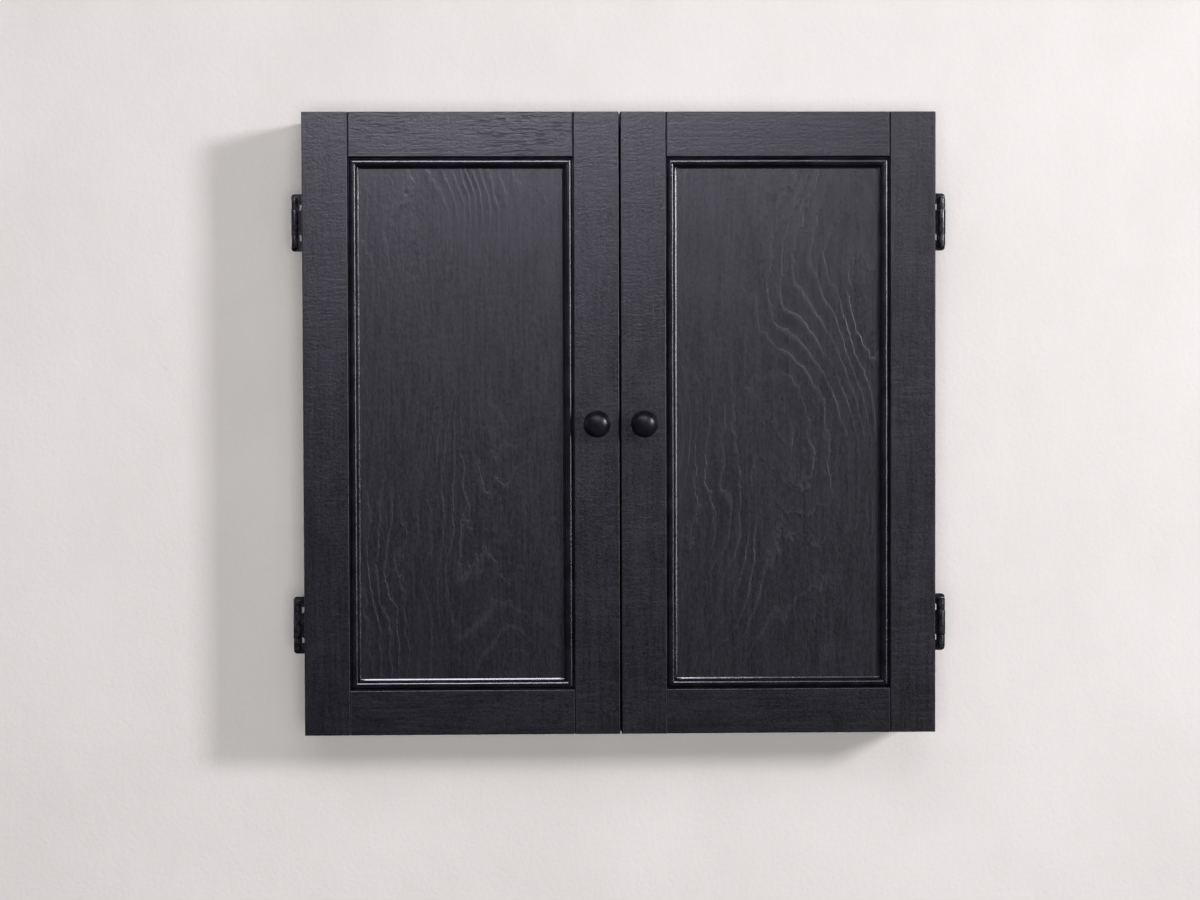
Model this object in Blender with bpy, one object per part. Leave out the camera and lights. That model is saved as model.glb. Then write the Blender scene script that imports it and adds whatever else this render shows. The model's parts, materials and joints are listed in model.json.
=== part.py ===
"""A wall-hung dart board cabinet: a shallow wooden box with two framed doors.

Axes: X to the right seen from the front, +Z up, and the room lies towards -Y.
The origin is the middle of the cabinet's back, on the plane of the wall.
Sizes are in metres.
"""

import math

import bmesh
import bpy

# ---------------------------------------------------------------- driving dimensions
CABINET_WIDTH = 0.6325  # over both doors
CABINET_HEIGHT = 0.622
CABINET_DEPTH = 0.095  # from the wall to the face of the doors
FIT_GAP = 0.0003  # between pieces that touch

# Box
BOARD_THICKNESS = 0.0127  # sides, top and bottom
BACK_THICKNESS = 0.0055
RAIL_THICKNESS = 0.015  # rails and batten between the back panel and the wall
RAIL_HEIGHT = 0.060
RAIL_INSET = 0.018  # from the top or bottom board to the rail
BATTEN_WIDTH = 0.090

# Keyhole plates, by which the cabinet hangs on two screws
KEYHOLE_SPACING = 0.4064
KEYHOLE_PLATE_WIDTH = 0.018
KEYHOLE_PLATE_HEIGHT = 0.046
KEYHOLE_PLATE_THICKNESS = 0.0015
KEYHOLE_ENTRY_RADIUS = 0.005
KEYHOLE_SLOT_RADIUS = 0.0026
KEYHOLE_RISE = 0.012  # from the entry's centre up to the slot's end
KEYHOLE_POCKET_DEPTH = 0.010
KEYHOLE_POCKET_MARGIN = 0.001  # pocket past the keyhole, all round

# Bracket and spacers that carry the dart board
BRACKET_WIDTH = 0.076
BRACKET_HEIGHT = 0.064
BRACKET_STAND = 0.008
BRACKET_SHEET = 0.002
BRACKET_FLANGE = 0.014
BRACKET_SLOT_WIDTH = 0.010
BRACKET_SLOT_DEPTH = 0.036
SPACER_RADIUS = 0.011
SPACER_HEIGHT = 0.008
SPACER_CIRCLE_RADIUS = 0.180
SPACER_COUNT = 3

# Screws
SCREW_RADIUS = 0.002
SCREW_HOLE_CLEARANCE = 0.0003
SCREW_HEAD_RADIUS = 0.004
SCREW_HEAD_HEIGHT = 0.0022
BRACKET_SCREW_BITE = 0.008  # into the batten
KNOB_SCREW_BITE = 0.010  # into the knob

# Doors
DOOR_THICKNESS = 0.019
DOOR_SEAM = 0.0015  # between the two doors
STILE_WIDTH = 0.0455
RAIL_WIDTH = 0.045  # of the doors' own top and bottom rails
ARRIS_RADIUS = 0.0012
PANEL_RECESS = 0.008  # from the door's face down to its panel
PANEL_THICKNESS = 0.005
GROOVE_DEPTH = 0.006
PANEL_EDGE_CLEARANCE = 0.0005  # panel to the bottom of its groove
SCOREBOARD_THICKNESS = 0.003
SCOREBOARD_MARGIN = 0.0025

# Beading round each panel, measured from the frame's edge and up from the panel
BEAD_WIDTH = 0.011
BEAD_QUIRK_WIDTH = 0.0013
BEAD_QUIRK_HEIGHT = 0.0032
BEAD_ROUND_RADIUS = 0.0029
BEAD_ROUND_ACROSS = 0.0051
BEAD_ROUND_UP = 0.0043
BEAD_FILLET_WIDTH = 0.0026
BEAD_FILLET_HEIGHT = 0.0027

# Dart racks
RACK_WIDTH = 0.100
RACK_BACK_HEIGHT = 0.052
RACK_BACK_THICKNESS = 0.004
RACK_SHELF_DEPTH = 0.026
RACK_SHELF_THICKNESS = 0.008
RACK_OVERLAP = 0.022  # rack standing on the back of the door's bottom rail
DART_SLOT_WIDTH = 0.0085
DART_SLOT_DEPTH = 0.016
DART_SLOT_PITCH = 0.030
DART_SLOT_COUNT = 3

# Knobs
KNOB_RADIUS = 0.0135
KNOB_LENGTH = 0.024
KNOB_FOOT_RADIUS = 0.008
KNOB_NECK_RADIUS = 0.0058
KNOB_FOOT_HEIGHT = 0.003
KNOB_FLARE = 0.0024  # from the end of the neck to the cap's underside
KNOB_CAP_THICKNESS = 0.011
KNOB_RIM_RADIUS = 0.0028

# Hinges
HINGE_INSET = 0.109  # from the door's end to the hinge's middle
HINGE_SHEET = 0.0012
FRAME_LEAF_HEIGHT = 0.0575
FRAME_LEAF_OVERHANG = 0.0125  # past the cabinet's side
FRAME_LEAF_CORNER = 0.0035
WRAP_LEG_LENGTH = 0.016
BARREL_OVERHANG = 0.00875  # axis past the cabinet's side
BARREL_LENGTH = 0.048
BARREL_RADIUS = 0.0033
PIN_RADIUS = 0.0016
PIN_HEAD_RADIUS = 0.0028
PIN_HEAD_HEIGHT = 0.0012
MIDDLE_KNUCKLE_LENGTH = 0.0252
KNUCKLE_SET_IN = 0.00015  # leaf's back past the barrel's
KNUCKLE_WEB_WIDTH = 0.0032
DOOR_LEAF_HEIGHT = 0.038
DOOR_LEAF_REACH = 0.025  # onto the door's back
WINDOW_WIDTH = 0.0026  # slots in the frame leaf, beside the knuckles
WINDOW_HEIGHT = 0.011
WINDOW_OFFSET = 0.0028  # from the cabinet's side to the slot's middle

# Door bumpers
BUMPER_RADIUS = 0.0045
BUMPER_INSET = 0.020  # from the seam

ROUND_SEGMENTS = 24
KNOB_SEGMENTS = 32
KNOB_CROWN_STEPS = 4

# ---------------------------------------------------------------- what follows from them
HALF_WIDTH = CABINET_WIDTH / 2
HALF_HEIGHT = CABINET_HEIGHT / 2
DOOR_STANDOFF = 2 * HINGE_SHEET + 3 * FIT_GAP
BOX_FRONT = -(CABINET_DEPTH - DOOR_THICKNESS - DOOR_STANDOFF)
DOOR_BACK = BOX_FRONT - DOOR_STANDOFF
DOOR_FACE = -CABINET_DEPTH
INNER_HALF_WIDTH = HALF_WIDTH - BOARD_THICKNESS
INNER_HALF_HEIGHT = HALF_HEIGHT - BOARD_THICKNESS
BACK_REAR = -(RAIL_THICKNESS + FIT_GAP)
BACK_FACE = BACK_REAR - BACK_THICKNESS
SCREW_HOLE_RADIUS = SCREW_RADIUS + SCREW_HOLE_CLEARANCE

SEAM_EDGE = DOOR_SEAM / 2
OPENING_OUTER = HALF_WIDTH - STILE_WIDTH  # the door frame's opening, from the centre line
OPENING_INNER = SEAM_EDGE + STILE_WIDTH
OPENING_HALF_HEIGHT = HALF_HEIGHT - RAIL_WIDTH
PANEL_FACE = DOOR_FACE + PANEL_RECESS
PANEL_REAR = PANEL_FACE + PANEL_THICKNESS
PANEL_TONGUE = GROOVE_DEPTH - PANEL_EDGE_CLEARANCE
KNOB_ACROSS = SEAM_EDGE + STILE_WIDTH / 2

RACK_LOW = -OPENING_HALF_HEIGHT - RACK_OVERLAP
RACK_HIGH = RACK_LOW + RACK_BACK_HEIGHT

BARREL_X = HALF_WIDTH + BARREL_OVERHANG
FRAME_LEAF_REAR = BOX_FRONT - FIT_GAP
FRAME_LEAF_FACE = FRAME_LEAF_REAR - HINGE_SHEET
DOOR_LEAF_REAR = FRAME_LEAF_FACE - FIT_GAP
DOOR_LEAF_FACE = DOOR_LEAF_REAR - HINGE_SHEET
BARREL_Y = DOOR_LEAF_REAR - KNUCKLE_SET_IN - BARREL_RADIUS
HINGE_HEIGHTS = {"top": HALF_HEIGHT - HINGE_INSET, "bottom": HINGE_INSET - HALF_HEIGHT}
PIN_HOLE_RADIUS = PIN_RADIUS + FIT_GAP

SIDES = {"left": -1, "right": 1}

# Colour, roughness and metallic value of each finish
FINISHES = {
    "black_lacquer": ((0.030, 0.030, 0.036), 0.42, 0.0),
    "plywood": ((0.030, 0.030, 0.034), 0.60, 0.0),
    "pine": ((0.62, 0.45, 0.27), 0.65, 0.0),
    "black_steel": ((0.022, 0.022, 0.025), 0.38, 0.6),
    "zinc_steel": ((0.60, 0.60, 0.60), 0.35, 1.0),
    "satin_black_metal": ((0.018, 0.018, 0.021), 0.30, 0.5),
    "rubber": ((0.020, 0.020, 0.020), 0.85, 0.0),
    "slate_board": ((0.040, 0.050, 0.045), 0.80, 0.0),
}


# ---------------------------------------------------------------- making pieces
def clear_scene():
    for obj in list(bpy.data.objects):
        bpy.data.objects.remove(obj, do_unlink=True)


def finish_material(name, finish):
    colour, roughness, metallic = FINISHES[finish]
    material = bpy.data.materials.new(name)
    material.use_nodes = True
    shader = material.node_tree.nodes["Principled BSDF"]
    shader.inputs["Base Color"].default_value = (*colour, 1.0)
    shader.inputs["Roughness"].default_value = roughness
    shader.inputs["Metallic"].default_value = metallic
    material.diffuse_color = (*colour, 1.0)
    return material


def piece(name, bm, origin, finish=None, parent=None, smooth=False):
    """Turns a bmesh drawn in cabinet coordinates into an object with its own origin."""
    bmesh.ops.recalc_face_normals(bm, faces=bm.faces)
    bmesh.ops.translate(bm, verts=bm.verts, vec=[-value for value in origin])
    mesh = bpy.data.meshes.new(name)
    bm.to_mesh(mesh)
    bm.free()
    obj = bpy.data.objects.new(name, mesh)
    bpy.context.collection.objects.link(obj)
    obj.location = origin
    if parent:
        obj.parent = parent
        obj.location = [value - held for value, held in zip(origin, parent.location)]
    if finish:
        mesh.materials.append(finish_material(name, finish))
    if smooth:
        mesh.shade_smooth()
        mesh.set_sharp_from_angle(angle=math.radians(35))
    return obj


def drawn_out(outline, axis, low, high):
    """A bmesh of a flat outline drawn out from low to high along axis."""
    bm = bmesh.new()
    along = "XYZ".index(axis)
    corners = []
    for first, second in outline:
        place = [first, second]
        place.insert(along, low)
        corners.append(bm.verts.new(place))
    face = bm.faces.new(corners)
    drawn = bmesh.ops.extrude_face_region(bm, geom=[face])
    moved = [item for item in drawn["geom"] if isinstance(item, bmesh.types.BMVert)]
    step = [0.0, 0.0, 0.0]
    step[along] = high - low
    bmesh.ops.translate(bm, verts=moved, vec=step)
    return bm


def block(low, high):
    """A bmesh of a plain rectangular board."""
    (x0, y0, z0), (x1, y1, z1) = low, high
    return drawn_out([(x0, y0), (x1, y0), (x1, y1), (x0, y1)], "Z", z0, z1)


def board(name, low, high, finish, parent=None):
    """A rectangular board between two corners, whose X may be given in either order."""
    centre = [(first + second) / 2 for first, second in zip(low, high)]
    return piece(name, block(low, high), centre, finish, parent)


def turned(profile, segments):
    """A bmesh turned about Z from (radius, height) points that start and end on the axis."""
    bm = bmesh.new()
    verts = [bm.verts.new((radius, 0.0, height)) for radius, height in profile]
    edges = [bm.edges.new(pair) for pair in zip(verts, verts[1:])]
    bmesh.ops.spin(
        bm, geom=verts + edges, axis=(0, 0, 1), cent=(0, 0, 0), angle=math.tau, steps=segments
    )
    bmesh.ops.remove_doubles(bm, verts=bm.verts, dist=1e-6)
    return bm


def rod(radius, low, high, segments=ROUND_SEGMENTS):
    """A bmesh of a plain rod standing along Z."""
    return turned([(0, high), (radius, high), (radius, low), (0, low)], segments)


def lay_along_y(bm, towards=-1):
    """Lays a turned bmesh down: its top points into the room (-1) or at the wall (1)."""
    for vert in bm.verts:
        x, y, z = vert.co
        vert.co = (x, towards * z, -towards * y)
    return bm


def moved(bm, offset):
    bmesh.ops.translate(bm, verts=bm.verts, vec=offset)
    return bm


def arc(centre, radius, start, end, steps):
    """Points along an arc, angles in degrees."""
    points = []
    for index in range(steps + 1):
        angle = math.radians(start + (end - start) * index / steps)
        points.append((centre[0] + radius * math.cos(angle), centre[1] + radius * math.sin(angle)))
    return points


def combine(target, bm, operation, name):
    """Cuts a shape from a piece, or welds it on, with a Boolean whose tool follows the piece."""
    tool = piece(name, bm, (0.0, 0.0, 0.0))
    tool.hide_render = True
    tool.display_type = "WIRE"
    tool.parent = target
    parent = target.parent
    held = parent.location if parent else (0.0, 0.0, 0.0)
    tool.location = [-(value + base) for value, base in zip(target.location, held)]
    modifier = target.modifiers.new(name, "BOOLEAN")
    modifier.operation = operation
    modifier.object = tool


def cut(target, bm, name):
    combine(target, bm, "DIFFERENCE", name)


def weld(target, bm, name):
    combine(target, bm, "UNION", name)


def screw(name, shank_length, head_at, towards, finish, parent=None):
    """A pan-head screw along Y. towards is -1 if its head faces the room, or 1 if the wall."""
    dome = SCREW_HEAD_HEIGHT / 3
    profile = [
        (0, SCREW_HEAD_HEIGHT),
        (SCREW_HEAD_RADIUS * 0.7, SCREW_HEAD_HEIGHT - dome / 2),
        (SCREW_HEAD_RADIUS, SCREW_HEAD_HEIGHT - 2 * dome),
        (SCREW_HEAD_RADIUS, 0),
        (SCREW_RADIUS, 0),
        (SCREW_RADIUS, -shank_length),
        (0, -shank_length),
    ]
    bm = lay_along_y(turned(profile, ROUND_SEGMENTS), towards)
    return piece(name, moved(bm, head_at), head_at, finish, parent, smooth=True)


# ---------------------------------------------------------------- box
def make_box():
    for name, side in SIDES.items():
        board(
            f"{name}_side",
            (side * INNER_HALF_WIDTH, BOX_FRONT, -HALF_HEIGHT),
            (side * HALF_WIDTH, 0.0, HALF_HEIGHT),
            "black_lacquer",
        )
    between_sides = INNER_HALF_WIDTH - FIT_GAP
    for name, end in {"top": 1, "bottom": -1}.items():
        board(
            f"{name}_board",
            (-between_sides, BOX_FRONT, min(end * INNER_HALF_HEIGHT, end * HALF_HEIGHT)),
            (between_sides, 0.0, max(end * INNER_HALF_HEIGHT, end * HALF_HEIGHT)),
            "black_lacquer",
        )


def make_back():
    """The thin back panel, and the rails and batten behind it that lie on the wall."""
    half_width = INNER_HALF_WIDTH - FIT_GAP
    half_height = INNER_HALF_HEIGHT - FIT_GAP
    back = board(
        "back_panel",
        (-half_width, BACK_FACE, -half_height),
        (half_width, BACK_REAR, half_height),
        "plywood",
    )
    rail_outer = INNER_HALF_HEIGHT - RAIL_INSET
    rail_inner = rail_outer - RAIL_HEIGHT
    hanging_rail = board(
        "hanging_rail",
        (-half_width, -RAIL_THICKNESS, rail_inner),
        (half_width, 0.0, rail_outer),
        "pine",
    )
    board(
        "lower_rail",
        (-half_width, -RAIL_THICKNESS, -rail_outer),
        (half_width, 0.0, -rail_inner),
        "pine",
    )
    batten_half_height = rail_inner - FIT_GAP
    batten = board(
        "centre_batten",
        (-BATTEN_WIDTH / 2, -RAIL_THICKNESS, -batten_half_height),
        (BATTEN_WIDTH / 2, 0.0, batten_half_height),
        "pine",
    )
    make_keyhole_plates(hanging_rail, (rail_inner + rail_outer) / 2)
    make_board_bracket(back, batten)


def keyhole_outline(x, z, margin):
    """Round entry with a narrower slot above it, in XZ."""
    entry = KEYHOLE_ENTRY_RADIUS + margin
    slot = KEYHOLE_SLOT_RADIUS + margin
    meet = math.degrees(math.asin(slot / entry))
    low = z - KEYHOLE_RISE / 2
    top = arc((x, low + KEYHOLE_RISE), slot, 0, 180, 8)
    bottom = arc((x, low), entry, 90 + meet, 450 - meet, 18)
    return top + bottom


def make_keyhole_plates(rail, z):
    """Steel plates let in flush behind the hanging rail, each over a pocket for a screw head."""
    half_width = KEYHOLE_PLATE_WIDTH / 2
    half_height = KEYHOLE_PLATE_HEIGHT / 2
    past = FIT_GAP
    for name, side in SIDES.items():
        x = side * KEYHOLE_SPACING / 2
        recess = block(
            (x - half_width - FIT_GAP, -KEYHOLE_PLATE_THICKNESS - FIT_GAP, z - half_height - FIT_GAP),
            (x + half_width + FIT_GAP, past, z + half_height + FIT_GAP),
        )
        cut(rail, recess, f"{name}_keyhole_recess")
        pocket_outline = keyhole_outline(x, z, KEYHOLE_POCKET_MARGIN)
        pocket = drawn_out(pocket_outline, "Y", -KEYHOLE_POCKET_DEPTH, past)
        cut(rail, pocket, f"{name}_keyhole_pocket")
        plate = board(
            f"{name}_keyhole_plate",
            (x - half_width, -KEYHOLE_PLATE_THICKNESS, z - half_height),
            (x + half_width, 0.0, z + half_height),
            "zinc_steel",
        )
        hole = drawn_out(keyhole_outline(x, z, 0.0), "Y", -KEYHOLE_PLATE_THICKNESS - past, past)
        cut(plate, hole, f"{name}_keyhole")


def make_board_bracket(back, batten):
    """A folded steel bracket, open at the top, that the screw in the dart board drops into."""
    rear = BACK_FACE - FIT_GAP
    front = rear - BRACKET_STAND
    half = BRACKET_WIDTH / 2
    shoulder = half - BRACKET_FLANGE
    inner = shoulder - BRACKET_SHEET
    half_outline = [
        (half, rear),
        (half, rear - BRACKET_SHEET),
        (shoulder, rear - BRACKET_SHEET),
        (shoulder, front),
    ]
    inside = [(inner, front + BRACKET_SHEET), (inner, rear)]
    mirrored = [(-x, y) for x, y in reversed(half_outline)]
    mirrored_inside = [(-x, y) for x, y in reversed(inside)]
    outline = half_outline + mirrored + mirrored_inside + inside
    top = BRACKET_HEIGHT / 2
    bm = drawn_out(outline, "Z", -top, top)
    bracket = piece("board_bracket", bm, (0.0, rear, 0.0), "black_steel")
    slot_radius = BRACKET_SLOT_WIDTH / 2
    slot_centre = top - BRACKET_SLOT_DEPTH + slot_radius
    slot_outline = arc((0.0, slot_centre), slot_radius, 180, 360, 10)
    slot_outline += [(slot_radius, top + FIT_GAP), (-slot_radius, top + FIT_GAP)]
    slot = drawn_out(slot_outline, "Y", front - FIT_GAP, front + BRACKET_SHEET + FIT_GAP)
    cut(bracket, slot, "bracket_slot")

    screw_x = half - BRACKET_FLANGE / 2
    head_seat = rear - BRACKET_SHEET - FIT_GAP
    shank_end = -RAIL_THICKNESS + BRACKET_SCREW_BITE
    for name, side in SIDES.items():
        centre = (side * screw_x, head_seat, 0.0)
        screw(f"{name}_bracket_screw", shank_end - head_seat, centre, -1, "zinc_steel")
        for held in (bracket, back, batten):
            hole = lay_along_y(rod(SCREW_HOLE_RADIUS, head_seat - FIT_GAP, shank_end + FIT_GAP), 1)
            hole = moved(hole, (side * screw_x, 0.0, 0.0))
            cut(held, hole, f"{held.name}_{name}_screw_hole")

    for index in range(SPACER_COUNT):
        angle = math.radians(90 + 360 * index / SPACER_COUNT)
        x = SPACER_CIRCLE_RADIUS * math.cos(angle)
        z = SPACER_CIRCLE_RADIUS * math.sin(angle)
        bm = moved(lay_along_y(rod(SPACER_RADIUS, 0.0, SPACER_HEIGHT)), (x, rear, z))
        piece(f"board_spacer_{index + 1}", bm, (x, rear, z), "rubber", smooth=True)


# ---------------------------------------------------------------- hinges
def make_frame_wing(name, side, z):
    """Leaf on the box's front edge, wrapped round the side board, with two knuckles."""
    top = FRAME_LEAF_HEIGHT / 2
    leg_outer = INNER_HALF_WIDTH - FIT_GAP
    leg_inner = leg_outer - HINGE_SHEET
    tip = HALF_WIDTH + FRAME_LEAF_OVERHANG
    corner = tip - FRAME_LEAF_CORNER
    outline = [(leg_inner, top), (leg_inner, -top)]
    outline += arc((corner, -top + FRAME_LEAF_CORNER), FRAME_LEAF_CORNER, 270, 360, 4)
    outline += arc((corner, top - FRAME_LEAF_CORNER), FRAME_LEAF_CORNER, 0, 90, 4)
    outline = [(side * x, z + up) for x, up in outline]
    bm = drawn_out(outline, "Y", FRAME_LEAF_FACE, FRAME_LEAF_REAR)
    wing = piece(name, bm, (side * HALF_WIDTH, FRAME_LEAF_REAR, z), "black_steel")
    leg = block(
        (side * leg_inner, FRAME_LEAF_FACE, z - top),
        (side * leg_outer, BOX_FRONT + WRAP_LEG_LENGTH, z + top),
    )
    weld(wing, leg, f"{name}_leg")
    knuckle = (BARREL_LENGTH - MIDDLE_KNUCKLE_LENGTH) / 2 - FIT_GAP
    for place, end in {"upper": 1, "lower": -1}.items():
        low = min(end * BARREL_LENGTH / 2, end * (BARREL_LENGTH / 2 - knuckle))
        centre = (side * BARREL_X, BARREL_Y, z)
        tube = moved(rod(BARREL_RADIUS, low, low + knuckle), centre)
        web = block(
            (side * BARREL_X - KNUCKLE_WEB_WIDTH / 2, BARREL_Y, z + low),
            (side * BARREL_X + KNUCKLE_WEB_WIDTH / 2, FRAME_LEAF_REAR - HINGE_SHEET / 2, z + low + knuckle),
        )
        weld(wing, web, f"{name}_{place}_web")
        weld(wing, tube, f"{name}_{place}_knuckle")
        window_x = side * (HALF_WIDTH + WINDOW_OFFSET)
        window_z = z + end * MIDDLE_KNUCKLE_LENGTH / 2
        window = block(
            (window_x - WINDOW_WIDTH / 2, FRAME_LEAF_FACE - FIT_GAP, window_z - WINDOW_HEIGHT / 2),
            (window_x + WINDOW_WIDTH / 2, FRAME_LEAF_REAR + FIT_GAP, window_z + WINDOW_HEIGHT / 2),
        )
        cut(wing, window, f"{name}_{place}_window")
    bore = rod(PIN_HOLE_RADIUS, -BARREL_LENGTH, BARREL_LENGTH)
    cut(wing, moved(bore, (side * BARREL_X, BARREL_Y, z)), f"{name}_bore")


def make_pin(name, side, z):
    """The hinge pin, with a domed head over each end of the barrel."""
    seat = BARREL_LENGTH / 2 + FIT_GAP
    tip = seat + PIN_HEAD_HEIGHT
    crown = PIN_HEAD_HEIGHT / 2
    profile = [
        (0, tip),
        (PIN_HEAD_RADIUS * 0.6, tip - crown / 3),
        (PIN_HEAD_RADIUS, seat + crown),
        (PIN_HEAD_RADIUS, seat),
        (PIN_RADIUS, seat),
    ]
    profile += [(radius, -height) for radius, height in reversed(profile)]
    centre = (side * BARREL_X, BARREL_Y, z)
    bm = moved(turned(profile, ROUND_SEGMENTS), centre)
    piece(name, bm, centre, "black_steel", smooth=True)


def make_door_wing(name, side, z, axis):
    """Leaf on the back of the door, narrowed to the middle knuckle past the door's edge."""
    half = DOOR_LEAF_HEIGHT / 2
    knuckle = MIDDLE_KNUCKLE_LENGTH / 2 - FIT_GAP
    narrow = (HALF_WIDTH + BARREL_X - BARREL_RADIUS) / 2
    outline = [
        (HALF_WIDTH - DOOR_LEAF_REACH, -half),
        (HALF_WIDTH, -half),
        (narrow, -knuckle),
        (BARREL_X, -knuckle),
        (BARREL_X, knuckle),
        (narrow, knuckle),
        (HALF_WIDTH, half),
        (HALF_WIDTH - DOOR_LEAF_REACH, half),
    ]
    outline = [(side * x, z + up) for x, up in outline]
    bm = drawn_out(outline, "Y", DOOR_LEAF_FACE, DOOR_LEAF_REAR)
    wing = piece(name, bm, (side * BARREL_X, BARREL_Y, z), "black_steel", axis)
    centre = (side * BARREL_X, BARREL_Y, z)
    weld(wing, moved(rod(BARREL_RADIUS, -knuckle, knuckle), centre), f"{name}_knuckle")
    cut(wing, moved(rod(PIN_HOLE_RADIUS, -BARREL_LENGTH, BARREL_LENGTH), centre), f"{name}_bore")


# ---------------------------------------------------------------- doors
def frame_outline(outer, inner):
    """Section of a stile or rail: across from outer edge to inner edge, then depth in Y.

    Both front edges are eased, and the inner edge is grooved for the panel.
    """
    way = 1 if inner > outer else -1
    groove = inner - way * GROOVE_DEPTH
    lip = PANEL_FACE - FIT_GAP
    lip_back = PANEL_REAR + FIT_GAP
    eased = DOOR_FACE + ARRIS_RADIUS
    outer_edge = arc((outer + way * ARRIS_RADIUS, eased), ARRIS_RADIUS, 180, 270, 3)
    inner_edge = arc((inner - way * ARRIS_RADIUS, eased), ARRIS_RADIUS, 270, 360, 3)
    if way < 0:
        outer_edge = arc((outer - ARRIS_RADIUS, eased), ARRIS_RADIUS, 360, 270, 3)
        inner_edge = arc((inner + ARRIS_RADIUS, eased), ARRIS_RADIUS, 270, 180, 3)
    groove_corners = [(inner, lip), (groove, lip), (groove, lip_back), (inner, lip_back)]
    return outer_edge + inner_edge + groove_corners + [(inner, DOOR_BACK), (outer, DOOR_BACK)]


def make_stile(name, side, outer, inner, axis):
    outline = [(side * across, y) for across, y in frame_outline(outer, inner)]
    bm = drawn_out(outline, "Z", -HALF_HEIGHT, HALF_HEIGHT)
    return piece(name, bm, (side * (outer + inner) / 2, DOOR_FACE, 0.0), "black_lacquer", axis)


def make_door_rail(name, side, end, axis):
    """A rail between the stiles, with a tongue at each end in the stile's groove."""
    outline = frame_outline(end * HALF_HEIGHT, end * OPENING_HALF_HEIGHT)
    outline = [(y, z) for z, y in outline]
    inner = OPENING_INNER + FIT_GAP
    outer = OPENING_OUTER - FIT_GAP
    bm = drawn_out(outline, "X", side * inner, side * outer)
    centre = (side * (inner + outer) / 2, DOOR_FACE, end * (HALF_HEIGHT - RAIL_WIDTH / 2))
    rail = piece(name, bm, centre, "black_lacquer", axis)
    groove_bottom = OPENING_HALF_HEIGHT + GROOVE_DEPTH
    tongue = block(
        (side * (inner - PANEL_TONGUE), PANEL_FACE, end * groove_bottom),
        (side * (outer + PANEL_TONGUE), PANEL_REAR, end * HALF_HEIGHT),
    )
    weld(rail, tongue, f"{name}_tongues")
    return rail


def bead_section():
    """Half-round beading: (from the frame's edge, up from the panel)."""
    base = FIT_GAP
    fillet_edge = BEAD_WIDTH - BEAD_FILLET_WIDTH
    centre = (BEAD_ROUND_ACROSS, BEAD_ROUND_UP)
    section = [(BEAD_WIDTH, base), (FIT_GAP, base), (FIT_GAP, BEAD_QUIRK_HEIGHT)]
    section += [(BEAD_QUIRK_WIDTH, BEAD_QUIRK_HEIGHT), (BEAD_QUIRK_WIDTH, BEAD_ROUND_UP)]
    section += arc(centre, BEAD_ROUND_RADIUS, 170, -30, 8)
    section += [(fillet_edge, BEAD_FILLET_HEIGHT), (BEAD_WIDTH, BEAD_FILLET_HEIGHT)]
    return section


def make_bead(name, along, near, inward, span, side, axis):
    """One mitred length of beading, along X or Z, from the frame's edge at near, inward."""
    low, high = span
    mitre = FIT_GAP / math.sqrt(2)
    bm = bmesh.new()
    ends = []
    for end, way in ((low, 1), (high, -1)):
        ring = []
        for across, up in bead_section():
            position = end + way * (across + mitre)
            edge = near + inward * across
            y = PANEL_FACE - up
            place = (side * position, y, edge) if along == "X" else (side * edge, y, position)
            ring.append(bm.verts.new(place))
        ends.append(ring)
        bm.faces.new(ring)
    count = len(ends[0])
    for index in range(count):
        after = (index + 1) % count
        bm.faces.new((ends[0][index], ends[0][after], ends[1][after], ends[1][index]))
    middle = (low + high) / 2
    origin = (side * middle, PANEL_FACE, near) if along == "X" else (side * near, PANEL_FACE, middle)
    return piece(name, bm, origin, "black_lacquer", axis)


def make_beading(door, side, axis):
    across = (OPENING_INNER, OPENING_OUTER)
    up = (-OPENING_HALF_HEIGHT, OPENING_HALF_HEIGHT)
    make_bead(f"{door}_top_bead", "X", OPENING_HALF_HEIGHT, -1, across, side, axis)
    make_bead(f"{door}_bottom_bead", "X", -OPENING_HALF_HEIGHT, 1, across, side, axis)
    make_bead(f"{door}_hinge_bead", "Z", OPENING_OUTER, -1, up, side, axis)
    make_bead(f"{door}_meeting_bead", "Z", OPENING_INNER, 1, up, side, axis)


def make_knob(name, centre, axis):
    """A turned mushroom knob with a blind hole for its screw."""
    bore = SCREW_HOLE_RADIUS
    bore_depth = KNOB_SCREW_BITE + 2 * FIT_GAP
    neck_end = KNOB_LENGTH - KNOB_CAP_THICKNESS
    neck_start = KNOB_FOOT_HEIGHT + KNOB_FOOT_RADIUS - KNOB_NECK_RADIUS
    rim_up = neck_end + KNOB_RIM_RADIUS
    rim = arc((KNOB_RADIUS - KNOB_RIM_RADIUS, rim_up), KNOB_RIM_RADIUS, -80, 60, 5)
    crown_rise = KNOB_LENGTH - rim[-1][1]
    crown_run = rim[-1][0]
    profile = [(0, bore_depth), (bore, bore_depth), (bore, 0), (KNOB_FOOT_RADIUS, 0)]
    profile += [(KNOB_FOOT_RADIUS, KNOB_FOOT_HEIGHT), (KNOB_NECK_RADIUS, neck_start)]
    profile += [(KNOB_NECK_RADIUS, neck_end - KNOB_FLARE)]
    profile += rim
    for index in range(1, KNOB_CROWN_STEPS + 1):
        angle = math.pi / 2 * index / KNOB_CROWN_STEPS
        profile.append((crown_run * math.cos(angle), rim[-1][1] + crown_rise * math.sin(angle)))
    profile[-1] = (0, KNOB_LENGTH)
    bm = lay_along_y(turned(profile, KNOB_SEGMENTS))
    piece(name, moved(bm, centre), centre, "satin_black_metal", axis, smooth=True)


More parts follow.
